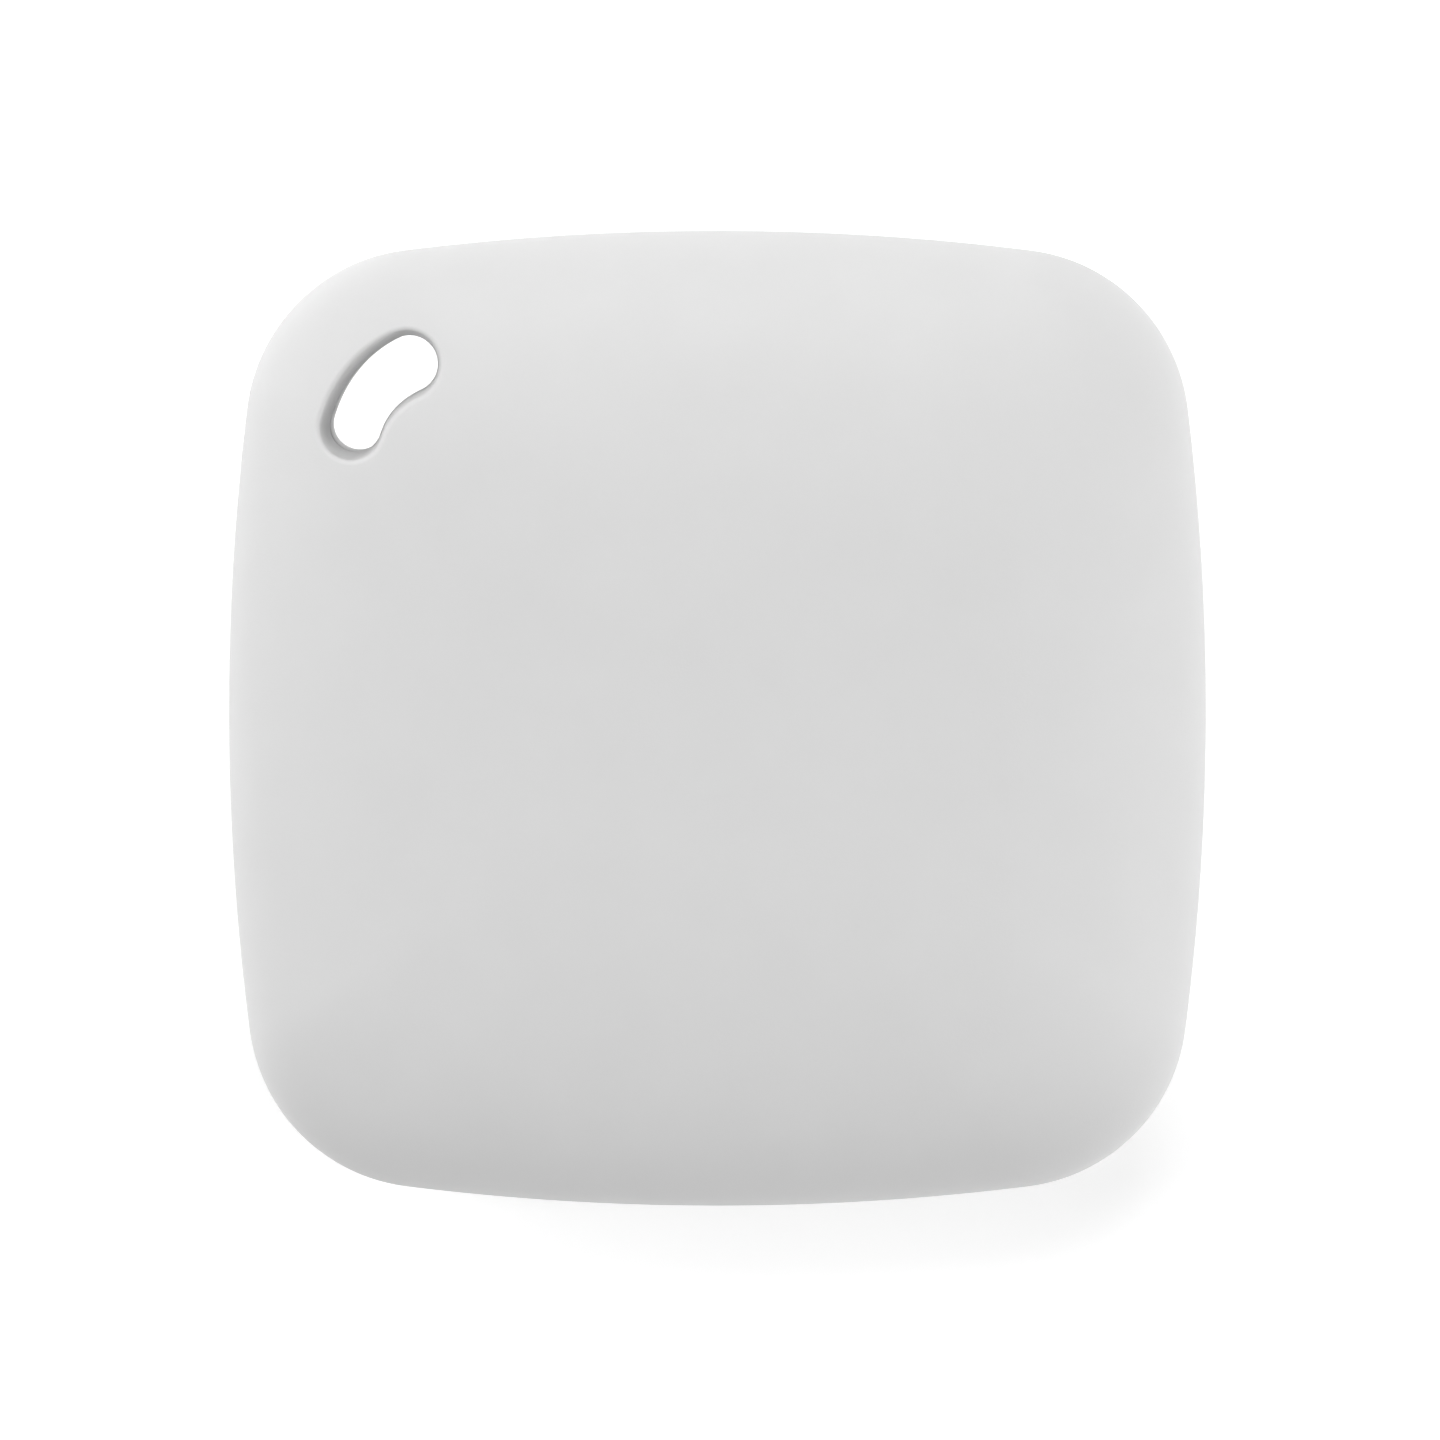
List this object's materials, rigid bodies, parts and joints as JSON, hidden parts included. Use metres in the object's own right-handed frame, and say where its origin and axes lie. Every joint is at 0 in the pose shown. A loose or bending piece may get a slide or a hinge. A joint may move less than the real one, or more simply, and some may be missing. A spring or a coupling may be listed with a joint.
{
  "type": "bluetooth tracker tag",
  "caption": "Square pillow-shaped Bluetooth tracker tag with a corner key slot, a front cover that presses as a button, and a snap case that opens for its coin cell.",
  "frame": {"origin": "centre of the flat rear face, on the plane the tag rests on", "axes": "+Z out of the front face; the key slot is in the corner between -X and +Y"},
  "size_m": [0.039, 0.039, 0.01],
  "materials": {
    "front_cover": "fine matt moulded texture",
    "rear_cover": "fine matt moulded texture",
    "case_seal": "soft silicone",
    "cell_pad": "closed-cell foam",
    "cell_steel": "nickel plated, spun",
    "cell_gasket": "natural polypropylene",
    "cell_cathode": "pressed powder",
    "cell_separator": "unwoven film",
    "cell_anode": "soft metal",
    "mid_frame": "satin moulded",
    "circuit_board": "solder mask over glass laminate",
    "board_screws": "zinc plated",
    "gold_contact": "gold-plated spring bronze",
    "chip_package": "black moulding compound",
    "crystal_can": "plated can",
    "antenna_ceramic": "unglazed ceramic",
    "ferrite": "pressed ferrite",
    "capacitor_ceramic": "fired ceramic with tinned ends",
    "resistor_body": "glazed film with tinned ends",
    "switch_base": "black nylon",
    "switch_steel": "silver-plated spring steel",
    "switch_plunger": "natural nylon",
    "sounder_adhesive": "adhesive film",
    "sounder_brass": "rolled sheet",
    "sounder_silver": "silver-printed ceramic"
  },
  "bodies": {
    "rear": {"rear_cover": "rear_cover", "case_seal": "case_seal", "cell_pad": "cell_pad"},
    "cell": {"cell_can": "cell_steel", "cell_gasket": "cell_gasket", "cell_cap": "cell_steel", "cell_cathode": "cell_cathode", "cell_separator": "cell_separator", "cell_anode": "cell_anode"},
    "core": {"mid_frame": "mid_frame", "circuit_board": "circuit_board", "board_screws": "board_screws", "negative_contact": "gold_contact", "positive_contact": "gold_contact", "bluetooth_chip": "chip_package", "main_crystal": "crystal_can", "clock_crystal": "crystal_can", "chip_antenna": "antenna_ceramic", "boost_inductor": "ferrite", "sounder_driver": "chip_package", "chip_capacitors": "capacitor_ceramic", "chip_resistors": "resistor_body", "sounder_springs": "gold_contact", "switch_base": "switch_base", "switch_terminals": "switch_steel", "switch_dome": "switch_steel", "switch_frame": "switch_steel"},
    "plunger": {"switch_plunger": "switch_plunger"},
    "front": {"front_cover": "front_cover", "sounder_adhesive": "sounder_adhesive", "sounder_plate": "sounder_brass", "sounder_ceramic": "sounder_silver"}
  },
  "joints": [
    {"name": "case_open", "type": "slide", "parent": "rear", "child": "core", "axis": [0, 0, 1], "range_m": [0, 0.02]},
    {"name": "cell_lift", "type": "slide", "parent": "rear", "child": "cell", "axis": [0, 0, 1], "range_m": [0, 0.008]},
    {"name": "cover_press", "type": "slide", "parent": "core", "child": "front", "axis": [0, 0, -1], "range_m": [0, 0.00025], "stiffness_N_per_m": 4000, "springref_m": -0.0002, "deforming": ["sounder_springs"]},
    {"name": "plunger_press", "type": "slide", "parent": "core", "child": "plunger", "axis": [0, 0, -1], "range_m": [0, 0.00025], "deforming": ["switch_dome"]}
  ],
  "couplings": [
    {"joint": "cell_lift", "follows": "case_open", "ratio": 0.4},
    {"joint": "plunger_press", "follows": "cover_press", "ratio": 1}
  ]
}
